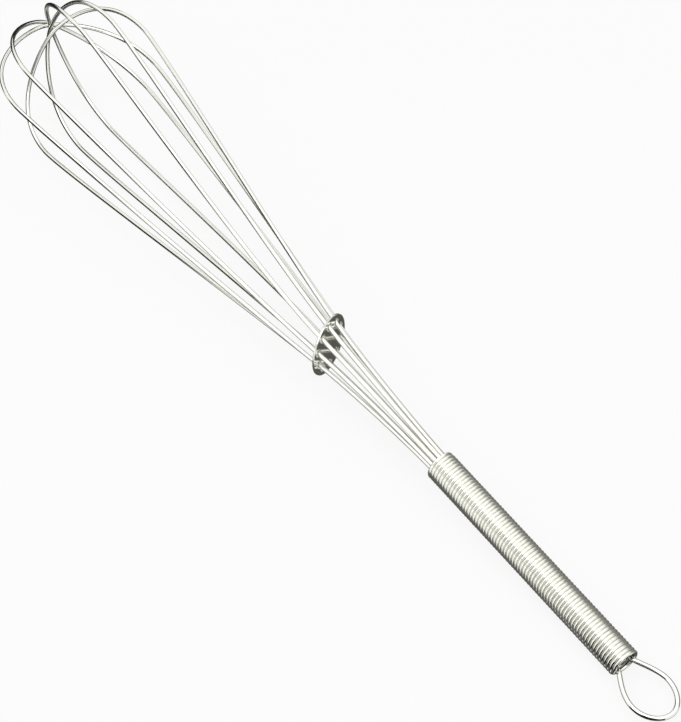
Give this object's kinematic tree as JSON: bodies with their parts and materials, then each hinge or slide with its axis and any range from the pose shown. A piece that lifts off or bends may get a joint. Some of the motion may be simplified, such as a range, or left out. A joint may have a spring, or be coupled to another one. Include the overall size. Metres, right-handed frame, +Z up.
{
  "type": "french whisk",
  "caption": "Slim kitchen whisk of springy wire loops, kept apart by a loose perforated disc and gathered in a handle wound with bright wire, with a hanging loop at the butt.",
  "frame": {"origin": "on the table, under the middle of the whisk's box", "axes": "+X along the whisk on the table, from the tip of the loops towards the hanging loop; +Y across it; +Z up from the table"},
  "size_m": [0.3524, 0.0584, 0.0601],
  "materials": {
    "whisk_wire": "bright drawn stainless wire, polished",
    "disc_sheet": "mirror-bright rolled stainless sheet with a smooth stamped rim",
    "winding_wire": "bright drawn stainless wire, close wound",
    "core_rod": "plain drawn steel rod"
  },
  "bodies": {
    "whisk": {"wire_loop_1": "whisk_wire", "wire_loop_2": "whisk_wire", "wire_loop_3": "whisk_wire", "wire_loop_4": "whisk_wire", "wire_loop_5": "whisk_wire", "handle_core": "core_rod", "handle_winding": "winding_wire", "hanging_loop": "whisk_wire"},
    "disc": {"spacer_disc": "disc_sheet"}
  },
  "joints": [
    {"name": "disc_slide", "type": "slide", "parent": "whisk", "child": "disc", "axis": [0.9965, 0, -0.0836], "range_m": [-0.0015, 0.002]}
  ]
}
